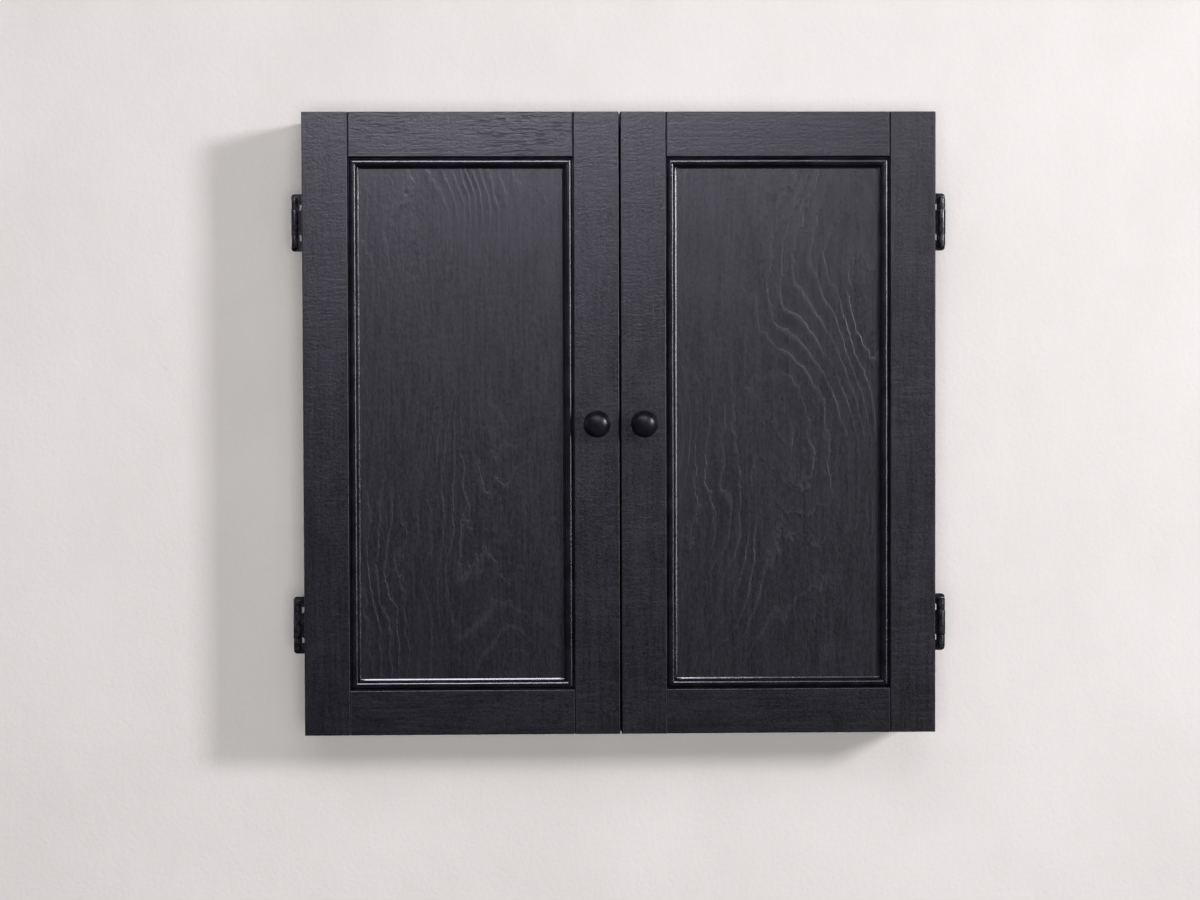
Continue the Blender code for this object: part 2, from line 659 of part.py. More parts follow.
def make_dart_rack(name, side, axis):
    """A wooden rack: a back plate on the door's bottom rail and a notched shelf on top."""
    rear = DOOR_BACK + FIT_GAP
    middle = (OPENING_INNER + OPENING_OUTER) / 2
    low = middle - RACK_WIDTH / 2
    high = middle + RACK_WIDTH / 2
    shelf_edge = rear + RACK_SHELF_DEPTH
    slot_end = shelf_edge - DART_SLOT_DEPTH
    outline = [(low, rear), (low, shelf_edge)]
    for index in range(DART_SLOT_COUNT):
        slot = middle + (index - (DART_SLOT_COUNT - 1) / 2) * DART_SLOT_PITCH
        half = DART_SLOT_WIDTH / 2
        outline.append((slot - half, shelf_edge))
        outline += arc((slot, slot_end + half), half, 180, 360, 6)
        outline.append((slot + half, shelf_edge))
    outline += [(high, shelf_edge), (high, rear)]
    outline = [(side * across, y) for across, y in outline]
    bm = drawn_out(outline, "Z", RACK_HIGH - RACK_SHELF_THICKNESS, RACK_HIGH)
    rack = piece(name, bm, (side * middle, rear, RACK_HIGH), "black_lacquer", axis)
    plate = block(
        (side * low, rear, RACK_LOW),
        (side * high, rear + RACK_BACK_THICKNESS, RACK_HIGH - RACK_SHELF_THICKNESS / 2),
    )
    weld(rack, plate, f"{name}_plate")


def make_door(door, side):
    axis = bpy.data.objects.new(f"{door}_door_axis", None)
    axis.location = (side * BARREL_X, BARREL_Y, 0.0)
    bpy.context.collection.objects.link(axis)

    make_stile(f"{door}_hinge_stile", side, HALF_WIDTH, OPENING_OUTER, axis)
    meeting = make_stile(f"{door}_meeting_stile", side, SEAM_EDGE, OPENING_INNER, axis)
    make_door_rail(f"{door}_top_rail", side, 1, axis)
    make_door_rail(f"{door}_bottom_rail", side, -1, axis)
    board(
        f"{door}_panel",
        (side * (OPENING_INNER - PANEL_TONGUE), PANEL_FACE, -OPENING_HALF_HEIGHT - PANEL_TONGUE),
        (side * (OPENING_OUTER + PANEL_TONGUE), PANEL_REAR, OPENING_HALF_HEIGHT + PANEL_TONGUE),
        "black_lacquer",
        axis,
    )
    make_beading(door, side, axis)
    score_rear = PANEL_REAR + FIT_GAP
    board(
        f"{door}_scoreboard",
        (side * (OPENING_INNER + SCOREBOARD_MARGIN), score_rear, RACK_HIGH + SCOREBOARD_MARGIN),
        (
            side * (OPENING_OUTER - SCOREBOARD_MARGIN),
            score_rear + SCOREBOARD_THICKNESS,
            OPENING_HALF_HEIGHT - SCOREBOARD_MARGIN,
        ),
        "slate_board",
        axis,
    )
    make_dart_rack(f"{door}_dart_rack", side, axis)

    knob_x = side * KNOB_ACROSS
    make_knob(f"{door}_knob", (knob_x, DOOR_FACE - FIT_GAP, 0.0), axis)
    head_seat = DOOR_BACK + FIT_GAP
    shank = head_seat - DOOR_FACE + FIT_GAP + KNOB_SCREW_BITE
    screw(f"{door}_knob_screw", shank, (knob_x, head_seat, 0.0), 1, "zinc_steel", axis)
    hole = lay_along_y(rod(SCREW_HOLE_RADIUS, DOOR_FACE - FIT_GAP, DOOR_BACK + FIT_GAP), 1)
    cut(meeting, moved(hole, (knob_x, 0.0, 0.0)), f"{door}_knob_hole")

    bumper_z = (HALF_HEIGHT + INNER_HALF_HEIGHT) / 2
    bumper_x = side * (SEAM_EDGE + BUMPER_INSET)
    thickness = DOOR_STANDOFF - 2 * FIT_GAP
    for place, end in {"top": 1, "bottom": -1}.items():
        centre = (bumper_x, DOOR_BACK + FIT_GAP + thickness, end * bumper_z)
        bm = moved(lay_along_y(rod(BUMPER_RADIUS, 0.0, thickness)), centre)
        piece(f"{door}_{place}_bumper", bm, centre, "rubber", axis, smooth=True)

    for place, z in HINGE_HEIGHTS.items():
        make_frame_wing(f"{door}_{place}_frame_wing", side, z)
        make_door_wing(f"{door}_{place}_door_wing", side, z, axis)
        make_pin(f"{door}_{place}_hinge_pin", side, z)


clear_scene()
make_box()
make_back()
for door_name, door_side in SIDES.items():
    make_door(door_name, door_side)
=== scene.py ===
"""A black wall cabinet for a dart board, finished piece by piece on its fixed frame."""

import json
import math

import bmesh
import bpy
from mathutils import Matrix, Vector, noise

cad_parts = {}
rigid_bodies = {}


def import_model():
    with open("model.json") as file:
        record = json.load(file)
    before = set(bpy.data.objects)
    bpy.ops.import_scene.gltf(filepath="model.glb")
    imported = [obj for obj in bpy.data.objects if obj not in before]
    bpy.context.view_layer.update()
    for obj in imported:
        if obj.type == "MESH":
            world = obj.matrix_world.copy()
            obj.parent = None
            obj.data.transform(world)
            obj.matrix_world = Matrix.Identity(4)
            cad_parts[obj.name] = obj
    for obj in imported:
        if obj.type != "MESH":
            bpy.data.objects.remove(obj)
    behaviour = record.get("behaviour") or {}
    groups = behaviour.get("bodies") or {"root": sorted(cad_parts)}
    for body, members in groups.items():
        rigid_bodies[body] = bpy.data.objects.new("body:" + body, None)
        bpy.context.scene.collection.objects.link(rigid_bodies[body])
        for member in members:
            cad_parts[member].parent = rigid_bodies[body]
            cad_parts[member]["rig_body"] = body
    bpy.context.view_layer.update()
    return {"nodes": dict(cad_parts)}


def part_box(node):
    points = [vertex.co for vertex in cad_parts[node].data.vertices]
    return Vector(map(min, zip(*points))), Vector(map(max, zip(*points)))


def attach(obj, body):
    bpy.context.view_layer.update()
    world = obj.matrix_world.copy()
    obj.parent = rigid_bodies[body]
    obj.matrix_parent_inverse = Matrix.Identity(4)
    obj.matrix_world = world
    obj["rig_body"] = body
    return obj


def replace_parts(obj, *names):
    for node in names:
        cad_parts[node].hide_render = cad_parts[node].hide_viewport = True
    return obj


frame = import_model()

# ------------------------------------------------------------------ camera
# The cabinet is seen almost square on, from a little left of its middle and just above it.
CAMERA_PLACE = (-0.081, -2.595, 0.045)
CAMERA_TURN = 1.39  # degrees to the right
CAMERA_TILT = -1.63
CAMERA_ROLL = -0.18
CAMERA_LENS = 75.1  # millimetres, on a sensor of this width
CAMERA_SENSOR = 36.0

camera_data = bpy.data.cameras.new("camera")
camera_data.lens = CAMERA_LENS
camera_data.sensor_width = CAMERA_SENSOR
camera_data.clip_end = 50.0
camera = bpy.data.objects.new("camera", camera_data)
bpy.context.scene.collection.objects.link(camera)
turn = Matrix.Rotation(math.radians(-CAMERA_TURN), 4, "Z")
tilt = Matrix.Rotation(math.radians(90 + CAMERA_TILT), 4, "X")
roll = Matrix.Rotation(math.radians(CAMERA_ROLL), 4, "Z")
camera.matrix_world = Matrix.Translation(CAMERA_PLACE) @ turn @ tilt @ roll
bpy.context.scene.camera = camera
bpy.context.scene.view_settings.view_transform = "Standard"

# ------------------------------------------------------------------ wall
# The plastered wall that the cabinet hangs on: a pale roller-painted face with faint trowel
# marks. Seen from behind it is clear, so that the cabinet's back can be looked at.
WALL_HALF_WIDTH = 4.0
WALL_HALF_HEIGHT = 3.0
WALL_GAP = 0.0004
WALL_PALE = (0.840, 0.813, 0.774, 1.0)
WALL_SHADE = (0.795, 0.767, 0.730, 1.0)


class Socket:
    """One output of a finish's nodes. Sums of it add Math nodes, and node() adds any other."""

    def __init__(self, tree, output):
        self.tree = tree
        self.output = output

    def node(self, kind, settings, values, out=0):
        made = self.tree.nodes.new("ShaderNode" + kind)
        for name, setting in settings.items():
            if name == "stops":
                ramp = made.color_ramp.elements
                while len(ramp) < len(setting):
                    ramp.new(1.0)
                for stop, (position, level) in zip(ramp, setting):
                    stop.position = position
                    stop.color = (level, level, level, 1.0)
            else:
                setattr(made, name, setting)
        for name, value in values.items():
            if isinstance(value, Socket):
                self.tree.links.new(value.output, made.inputs[name])
            else:
                made.inputs[name].default_value = value
        return Socket(self.tree, made.outputs[out])

    def sum(self, operation, first, second):
        return self.node("Math", {"operation": operation}, {0: first, 1: second})

    def __add__(self, other):
        return self.sum("ADD", self, other)

    def __sub__(self, other):
        return self.sum("SUBTRACT", self, other)

    def __rsub__(self, other):
        return self.sum("SUBTRACT", other, self)

    def __mul__(self, other):
        return self.sum("MULTIPLY", self, other)

    __radd__ = __add__
    __rmul__ = __mul__


def start_finish(name):
    """A new material, and the place of a point on the piece, in metres."""
    material = bpy.data.materials.new(name)
    material.use_nodes = True
    tree = material.node_tree
    tree.nodes.clear()
    coordinates = tree.nodes.new("ShaderNodeTexCoord")
    return material, Socket(tree, coordinates.outputs["Object"])


def end_finish(material, place, values):
    shader = place.node("BsdfPrincipled", {}, values)
    output = place.tree.nodes.new("ShaderNodeOutputMaterial")
    place.tree.links.new(shader.output, output.inputs["Surface"])
    return material


def speckle(place, scale, stretch=(1, 1, 1), shift=(0, 0, 0), detail=2.0, roughness=0.5):
    """Noise whose spots are 1/scale metres, drawn out where stretch is under 1."""
    moved = place.node("Mapping", {}, {"Vector": place, "Location": shift, "Scale": stretch})
    values = {"Vector": moved, "Scale": scale, "Detail": detail, "Roughness": roughness}
    return place.node("TexNoise", {}, values)


def rise(value, low, high, start=0.0, end=1.0):
    """Goes smoothly from start to end as value goes from low to high."""
    values = {"Value": value, "From Min": low, "From Max": high, "To Min": start, "To Max": end}
    return value.node("MapRange", {"interpolation_type": "SMOOTHSTEP"}, values)


def blend_colours(amount, first, second):
    return amount.node("Mix", {"data_type": "RGBA"}, {0: amount, 6: first, 7: second}, 2)


def relief(height, distance, strength=1.0):
    return height.node("Bump", {}, {"Height": height, "Distance": distance, "Strength": strength})


def plaster_finish():
    material, place = start_finish("wall_plaster")
    stipple = speckle(place, 210, detail=3.0, roughness=0.6)
    lumps = speckle(place, 38, (1, 1, 0.8), (3, 0, 1), detail=4.0)
    strokes = speckle(place, 6, (1, 1, 0.8), (0, 0, 7), detail=4.0, roughness=0.55)
    height = stipple * 0.22 + lumps * 0.30 + strokes * 0.8
    colour = blend_colours(rise(strokes, 0.3, 0.7), WALL_PALE, WALL_SHADE)
    shader = place.node(
        "BsdfPrincipled",
        {},
        {"Base Color": colour, "Roughness": 0.75, "Normal": relief(height, 0.0022)},
    )
    clear = place.node("BsdfTransparent", {}, {})
    back = place.node("NewGeometry", {}, {}, "Backfacing")
    seen = place.node("MixShader", {}, {0: back, 1: shader, 2: clear})
    output = place.tree.nodes.new("ShaderNodeOutputMaterial")
    place.tree.links.new(seen.output, output.inputs["Surface"])
    return material


def mesh_piece(name, bm, material, smooth_to=40):
    """An object of its own from a bmesh drawn where the piece belongs."""
    mesh = bpy.data.meshes.new(name)
    bm.to_mesh(mesh)
    bm.free()
    mesh.materials.append(material)
    mesh.shade_smooth()
    mesh.set_sharp_from_angle(angle=math.radians(smooth_to))
    obj = bpy.data.objects.new(name, mesh)
    bpy.context.scene.collection.objects.link(obj)
    return obj


wall_bm = bmesh.new()
wall_bm.faces.new(
    wall_bm.verts.new((across * WALL_HALF_WIDTH, WALL_GAP, up * WALL_HALF_HEIGHT))
    for across, up in ((-1, -1), (1, -1), (1, 1), (-1, 1))
)
wall = mesh_piece("wall", wall_bm, plaster_finish())
wall.visible_shadow = False
wall.visible_diffuse = False
wall.visible_glossy = False

# ------------------------------------------------------------------ light
# A small soft key from the right throws the shadow to the left. Softboxes in front and above
# fill it, two flagged off the wall draw the sheen down the doors and along the mouldings, and
# one lights the wall alone. Pale fills reach the sides and the back.
LAMPS = {
    "key": ((2.83, -2.75, 0.95), (0.60, 0.60), 87, (1.0, 0.97, 1.03)),
    "front": ((0.3, -3.6, 1.6), (1.6, 1.0), 12, (1.0, 0.965, 1.04)),
    "overhead": ((-0.3, -2.1, 1.45), (2.2, 1.0), 9, (1.0, 0.965, 1.04)),
    "sheen": ((-0.2, -1.5, 0.88), (0.8, 0.3), 20, (0.93, 0.91, 1.08)),
    "wash": ((-0.1, -3.4, -0.15), (1.3, 0.8), 48, (1.0, 0.995, 0.995)),
    "strip": ((2.83, -2.75, 0.05), (0.35, 1.2), 26, (0.97, 0.96, 1.05)),
    "left_fill": ((-3.4, 0.3, 0.5), (1.2, 2.0), 14, (1.0, 1.0, 1.0)),
    "rear_fill": ((1.6, 3.0, 1.6), (2.0, 2.0), 70, (1.0, 1.0, 1.0)),
    "rear_left_fill": ((-2.4, 2.4, 0.8), (1.6, 2.0), 35, (1.0, 1.0, 1.0)),
}
WORLD_COLOUR = (1.0, 0.96, 1.04, 1.0)
WORLD_STRENGTH = 0.07
ROOM_RADIUS = 12.0
ROOM_COLOUR = (0.80, 0.785, 0.78, 1.0)
ROOM_STRENGTH = 0.8

for lamp_name, (lamp_place, lamp_size, lamp_power, lamp_colour) in LAMPS.items():
    lamp_data = bpy.data.lights.new(lamp_name, "AREA")
    lamp_data.shape = "RECTANGLE"
    lamp_data.size, lamp_data.size_y = lamp_size
    lamp_data.energy = lamp_power
    lamp_data.color = lamp_colour
    lamp = bpy.data.objects.new(lamp_name, lamp_data)
    bpy.context.scene.collection.objects.link(lamp)
    lamp.location = lamp_place
    lamp.rotation_euler = (-Vector(lamp_place)).to_track_quat("-Z", "Y").to_euler()
    lamp.visible_camera = False

for lamp_name, state in (("sheen", "EXCLUDE"), ("strip", "EXCLUDE"), ("wash", "INCLUDE")):
    lit = bpy.data.collections.new(lamp_name + "_on_wall")
    lit.objects.link(wall)
    lit.collection_objects[0].light_linking.link_state = state
    bpy.data.objects[lamp_name].light_linking.receiver_collection = lit

world = bpy.data.worlds.new("room")
world.use_nodes = True
world.node_tree.nodes["Background"].inputs["Color"].default_value = WORLD_COLOUR
world.node_tree.nodes["Background"].inputs["Strength"].default_value = WORLD_STRENGTH
bpy.context.scene.world = world

room_bm = bmesh.new()
bmesh.ops.create_icosphere(room_bm, subdivisions=4, radius=ROOM_RADIUS)
room_material, room_place = start_finish("room_pale")
room_glow = room_place.node("Emission", {}, {"Color": ROOM_COLOUR, "Strength": ROOM_STRENGTH})
room_output = room_place.tree.nodes.new("ShaderNodeOutputMaterial")
room_place.tree.links.new(room_glow.output, room_output.inputs["Surface"])
room = mesh_piece("room_backdrop", room_bm, room_material)
for ray in ("shadow", "diffuse", "glossy", "transmission", "volume_scatter"):
    setattr(room, "visible_" + ray, False)

# ------------------------------------------------------------------ door frames
# Stiles and rails of close-grained hardwood, tongued and grooved together, sanded, eased
# along their edges and sprayed satin black. The planer's chatter still shows faintly, and the
# left top rail's grain tore a little.
FRAME_EASE = 0.0005
LACQUER_DEEP = (0.0026, 0.0026, 0.0042, 1.0)
LACQUER_WORN = (0.020, 0.020, 0.024, 1.0)
LACQUER_LIGHT = (0.0078, 0.0072, 0.0112, 1.0)
# A pale colour painted along the bottom rail's joints: a painted highlight where light catches the
# joint line.
JOINT_PAINTED_GLINT = (0.055, 0.055, 0.062, 1.0)
FRAME_FLECKS = 0.25
TORN_FLECKS = 1.0


def eased_copy(node, ease, material, sharp=40):
    """The CAD solid with its sharp edges rounded by ease, and the rounded faces marked worn."""
    bm = bmesh.new()
    bm.from_mesh(frame["nodes"][node].data)
    bmesh.ops.remove_doubles(bm, verts=bm.verts, dist=1e-6)
    bmesh.ops.dissolve_limit(bm, angle_limit=math.radians(1), verts=bm.verts, edges=bm.edges)
    worn = bm.faces.layers.float.new("worn")
    edges = [e for e in bm.edges if e.is_manifold and e.calc_face_angle() > math.radians(sharp)]
    rounded = bmesh.ops.bevel(
        bm, geom=edges, offset=ease, segments=2, profile=0.5, affect="EDGES", clamp_overlap=True
    )
    for face in rounded["faces"]:
        face[worn] = 1.0
    piece = mesh_piece(node + "_finished", bm, material, 60)
    firm = piece.modifiers.new("flat_faces", "WEIGHTED_NORMAL")
    firm.keep_sharp = True
    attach(piece, frame["nodes"][node]["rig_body"])
    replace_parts(piece, node)
    return piece


def worn_edges(place):
    return place.node("Attribute", {"attribute_name": "worn"}, {}, "Fac")


def frame_finish(name, grain, seed, flecks=0.0, joints=(), glint_joints=False):
    """Satin black over wood whose fibres run along grain, X or Z.

    Joints are places across the door where two members meet: a dark open line, or a pale line
    painted over the joint as a painted highlight where light catches it.
    """
    material, place = start_finish(name)
    along = (0.05, 1, 1) if grain == "X" else (1, 1, 0.05)
    across = (1, 1, 0.10) if grain == "X" else (0.10, 1, 1)
    shift = (seed * 3.7, seed, seed * 1.9)
    fibres = rise(speckle(place, 330, along, shift, detail=4.0, roughness=0.75), 0.30, 0.70)
    grit = rise(speckle(place, 360, (1, 1, 1), shift, detail=3.0, roughness=0.75), 0.30, 0.70)
    mottle = speckle(place, 34, (1, 1, 1), shift, detail=5.0, roughness=0.65)
    chatter = rise(speckle(place, 240, across, shift, detail=3.0, roughness=0.6), 0.3, 0.7)
    patches = rise(speckle(place, 11, (1, 1, 1), shift, detail=2.0), 0.44, 0.62)
    edges = worn_edges(place)
    height = fibres * 0.24 + grit * 0.34 + chatter * patches * 0.20 + mottle * 0.9
    tone = rise(fibres * 0.3 + mottle * 0.4 + grit * 0.3, 0.25, 0.75)
    colour = blend_colours(tone, LACQUER_DEEP, LACQUER_LIGHT)
    colour = blend_colours(edges * 0.55, colour, LACQUER_WORN)
    rough = 0.27 + mottle * 0.10 + fibres * 0.05 + grit * 0.07 + chatter * patches * 0.05
    dash = speckle(place, 330, (0.20, 1, 1), (seed, 0, 2), detail=2.0)
    where = rise(speckle(place, 13, (0.8, 1, 1), (seed, 3, 0), detail=1.0), 0.42, 0.58)
    fleck = rise(dash, 0.53, 0.63) * where * flecks
    rough = rough + fleck * 0.20
    colour = blend_colours(fleck * 0.6, colour, LACQUER_DEEP)
    height = height - fleck * 0.5
    across_place = place.node("SeparateXYZ", {}, {0: place}, "X")
    for joint in joints:
        away = place.node("Math", {"operation": "ABSOLUTE"}, {0: across_place - joint})
        # A pale line painted over the joint: a painted highlight where light catches it.
        if glint_joints:
            painted_glint = rise(away, 0.0003, 0.0011, 1.0, 0.0) * 0.6
            colour = blend_colours(painted_glint, colour, JOINT_PAINTED_GLINT)
        else:
            gap = rise(away, 0.0007, 0.0016, 1.0, 0.0)
            rough = rough + gap * 0.7
            height = height - gap * 1.5
    values = {"Base Color": colour, "Roughness": rough, "Normal": relief(height, 0.00022)}
    return end_finish(material, place, values)


for door_index, door in enumerate(("left", "right")):
    stiles = sorted(
        (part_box(f"{door}_{stile}") for stile in ("hinge_stile", "meeting_stile")),
        key=lambda box: box[0].x,
    )
    for member_index, (member, grain, joints) in enumerate(
        (
            ("hinge_stile", "Z", ()),
            ("meeting_stile", "Z", ()),
            ("top_rail", "X", (stiles[0][1].x, stiles[1][0].x)),
            ("bottom_rail", "X", (stiles[0][1].x, stiles[1][0].x)),
        )
    ):
        flecks = TORN_FLECKS if (door, member) == ("left", "top_rail") else FRAME_FLECKS
        seed = 1.3 + door_index * 5.1 + member_index * 1.7
        # Only the bottom rail's joints get the pale painted highlight; the others stay open and
        # dark.
        glint_joints = member == "bottom_rail"
        lacquer = frame_finish(f"{door}_{member}_lacquer", grain, seed, flecks, joints, glint_joints)
        eased_copy(f"{door}_{member}", FRAME_EASE, lacquer)

# ------------------------------------------------------------------ door panels
# Thin plywood faced with rotary-cut veneer, let into the frame's groove. The knife follows
# the growth rings, so the grain stands up in tall wavy flames under the lacquer.
PANEL_DEEP = (0.0048, 0.0046, 0.0066, 1.0)
# The paler colour below gives the veneer's own paler tone, and also the painted highlight along
# its flame lines.
PANEL_PALE_AND_HIGHLIGHT = (0.0185, 0.0175, 0.0225, 1.0)
VENEER_SEED = {"left": 8.4, "right": 15.8}
FLAMES = {
    # where the flames are strong: across and up from the panel's middle, half width and height
    "left": (((-0.03, 0.23), (0.13, 0.10)), ((-0.03, -0.13), (0.14, 0.19))),
    "right": (((0.05, 0.12), (0.10, 0.20)), ((-0.02, -0.11), (0.13, 0.22))),
}


def spot(place, middle, reach):
    """1 in the middle of an oval in the door's plane, and 0 outside it."""
    offset = (-middle[0] / reach[0], 0, -middle[1] / reach[1])
    values = {"Vector": place, "Location": offset, "Scale": (1 / reach[0], 0, 1 / reach[1])}
    oval = place.node("Mapping", {}, values)
    distance = place.node("VectorMath", {"operation": "LENGTH"}, {0: oval}, "Value")
    return rise(distance, 0.35, 1.15, 1.0, 0.0)


def veneer_finish(name, middle, flames, seed):
    material, place = start_finish(name)
    shift = (seed, seed * 2.3, seed * 0.7)
    centred = place.node("VectorMath", {"operation": "SUBTRACT"}, {0: place, 1: middle})
    flat = centred.node("VectorMath", {"operation": "MULTIPLY"}, {0: centred, 1: (1, 0, 1)})
    across = centred.node("SeparateXYZ", {}, {0: centred}, "X")
    swirl = speckle(flat, 6, (1, 1, 0.42), shift, detail=1.5, roughness=0.35)
    ragged = speckle(flat, 34, (1, 1, 0.45), shift, detail=4.0, roughness=0.62)
    torn = rise(speckle(flat, 11, (1, 1, 0.5), (seed, 1, 3), detail=1.0), 0.35, 0.65, 1.3, 3.4)
    rings = swirl * 30 + ragged * torn + across * 42
    fraction = place.node("Math", {"operation": "FRACT"}, {0: rings})
    step = rise(fraction, 0.12, 0.80) - rise(fraction, 0.82, 0.98)
    line = rise(fraction, 0.66, 0.83) - rise(fraction, 0.84, 0.98)
    strong = 0.0
    for (sideways, up), reach in flames:
        here = spot(place, (middle[0] + sideways, middle[2] + up), reach)
        strong = here if strong == 0.0 else strong.sum("MAXIMUM", strong, here)
    broken = rise(speckle(place, 16, (1, 1, 0.5), shift, detail=2.0), 0.34, 0.58, 0.35)
    strong = (0.06 + strong * 0.94) * broken
    fibres = rise(speckle(place, 330, (1, 1, 0.06), shift, detail=4.0, roughness=0.75), 0.3, 0.7)
    grit = rise(speckle(place, 360, (1, 1, 0.5), shift, detail=3.0, roughness=0.75), 0.3, 0.7)
    sway = speckle(place, 7, (1, 1, 0.6), shift, detail=1.0)
    mottle = speckle(place, 40, (1, 1, 0.6), shift, detail=4.0, roughness=0.6)
    height = step * strong * 0.8 + fibres * 0.15 + grit * 0.24 + mottle * 0.4 + sway * 1.6
    tone = rise(fibres * 0.4 + mottle * 0.3 + grit * 0.3, 0.25, 0.75) * 0.6
    # The flame lines are painted paler than the wood around them: partly the veneer's grain,
    # partly a painted highlight standing in for their raised edges catching the light.
    colour = blend_colours(tone * 0.6 + line * strong * 0.34, PANEL_DEEP, PANEL_PALE_AND_HIGHLIGHT)
    rough = 0.29 + mottle * 0.08 + fibres * 0.05 + grit * 0.07 + line * strong * 0.05
    values = {"Base Color": colour, "Roughness": rough, "Normal": relief(height, 0.00026)}
    return end_finish(material, place, values)


for door_index, door in enumerate(("left", "right")):
    low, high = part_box(f"{door}_panel")
    veneer = veneer_finish(f"{door}_veneer", (low + high) / 2, FLAMES[door], VENEER_SEED[door])
    panel_node = frame["nodes"][f"{door}_panel"]
    panel_node.data.materials.clear()
    panel_node.data.materials.append(veneer)

# ------------------------------------------------------------------ beading
# Half-round beading, mitred at its corners and pinned inside the frame over the panel's edge.
# It was bent in by hand, so it wanders a little, most of all in the right-hand door. The
# lacquer ran and pooled on the bottom lengths, which shine more.
BEAD_WIDTH = 0.011
BEAD_GAP = 0.0003
BEAD_ARRIS = 0.0046
BEAD_ROUND = (0.00495, 0.0027, 0.0042)
BEAD_FILLET = (0.0017, 0.0012)
BEAD_STEP = 0.006
BEAD_FREE = (0.001, 0.0105)  # how far in from the frame its face can wander
BEAD_WANDER = {"left": 0.00012, "right": 0.00034}
BEAD_ROUGHNESS = 0.20
POOLED_ROUGHNESS = 0.11


def bead_section():
    """Points round the beading: (in from the frame, up from the panel)."""
    across, up, radius = BEAD_ROUND
    points = [(BEAD_WIDTH, BEAD_GAP), (BEAD_GAP, BEAD_GAP), (BEAD_GAP, BEAD_ARRIS - 0.0003)]
    points += [(0.0005, BEAD_ARRIS), (0.0011, BEAD_ARRIS), (0.00135, BEAD_ARRIS - 0.0006)]
    for index in range(21):
        angle = math.radians(144 - 132 * index / 20)
        points.append((across + radius * math.cos(angle), up + radius * math.sin(angle)))
    inner, top = BEAD_WIDTH - BEAD_FILLET[0], BEAD_FILLET[1]
    points += [(inner - 0.0001, top + 0.0003), (inner + 0.0002, top)]
    points += [(BEAD_WIDTH - 0.0003, top), (BEAD_WIDTH, top - 0.0003)]
    return points


def bead_finish(name, least_rough):
    material, place = start_finish(name)
    flow = speckle(place, 320, (1, 1, 1), detail=2.0)
    dust = speckle(place, 60, (1, 1, 1), detail=3.0)
    colour = blend_colours(rise(dust, 0.35, 0.7), LACQUER_DEEP, LACQUER_LIGHT)
    rough = least_rough + dust * 0.08
    values = {"Base Color": colour, "Roughness": rough, "Normal": relief(flow + dust, 0.00012)}
    return end_finish(material, place, values)


def bead(door, edge, opening, material):
    """One mitred length along an edge of the opening: top, bottom, hinge or meeting."""
    low, high = opening
    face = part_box(f"{door}_panel")[0].y
    upright = edge in ("hinge", "meeting")
    side = -1 if door == "left" else 1
    if upright:
        outer = (edge == "hinge") == (side > 0)
        near = high.x if outer else low.x
        inward = -1 if outer else 1
        ends = (low.z, high.z)
    else:
        near = high.z if edge == "top" else low.z
        inward = -1 if edge == "top" else 1
        ends = (low.x, high.x)
    steps = round((ends[1] - ends[0]) / BEAD_STEP)
    mitre = BEAD_GAP / math.sqrt(2)
    wander = BEAD_WANDER[door]
    section = bead_section()
    bm = bmesh.new()
    rings = []
    for index in range(steps + 1):
        share = index / steps
        ease = math.sin(math.pi * share) ** 0.5
        ring = []
        for across, up in section:
            start = ends[0] + across + mitre
            end = ends[1] - across - mitre
            position = start + (end - start) * share
            sway = noise.noise((position * 22, near * 40, 5.0)) * wander * ease
            lift = noise.noise((position * 30, near * 40, 9.0)) * wander * ease
            rising = up > 2 * BEAD_GAP
            free = rising and BEAD_FREE[0] < across < BEAD_FREE[1]
            inset = near + inward * (across + (sway if free else 0.0))
            y = face - up - (lift if rising else 0.0)
            place = (inset, y, position) if upright else (position, y, inset)
            ring.append(bm.verts.new(place))
        rings.append(ring)
    for ring, after in zip(rings, rings[1:]):
        for index in range(len(section)):
            following = (index + 1) % len(section)
            bm.faces.new((ring[index], ring[following], after[following], after[index]))
    bm.faces.new(rings[0])
    bm.faces.new(rings[-1])
    bmesh.ops.recalc_face_normals(bm, faces=bm.faces)
    piece = mesh_piece(f"{door}_{edge}_beading", bm, material, 50)
    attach(piece, f"{door}_door")
    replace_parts(piece, f"{door}_{edge}_bead")


bead_lacquer = bead_finish("beading_lacquer", BEAD_ROUGHNESS)
pooled_lacquer = bead_finish("beading_lacquer_pooled", POOLED_ROUGHNESS)
for door in ("left", "right"):
    outer_low, outer_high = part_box(f"{door}_hinge_stile")
    inner_low, inner_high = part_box(f"{door}_meeting_stile")
    top_rail_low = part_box(f"{door}_top_rail")[0]
    bottom_rail_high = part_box(f"{door}_bottom_rail")[1]
    lowest = min(outer_high.x, inner_high.x)
    highest = max(outer_low.x, inner_low.x)
    opening = (Vector((lowest, 0, bottom_rail_high.z)), Vector((highest, 0, top_rail_low.z)))
    for edge in ("top", "bottom", "hinge", "meeting"):
        bead(door, edge, opening, pooled_lacquer if edge == "bottom" else bead_lacquer)

# ------------------------------------------------------------------ knobs
# Turned mushroom knobs, sprayed satin black, each drawn down on the meeting stile by a
# machine screw from the back of the door.
KNOB_SEGMENTS = 96
KNOB_DEEP = (0.005, 0.005, 0.008, 1.0)
KNOB_LIGHT = (0.011, 0.011, 0.015, 1.0)
KNOB_TINT = (0.90, 0.87, 1.0, 1.0)


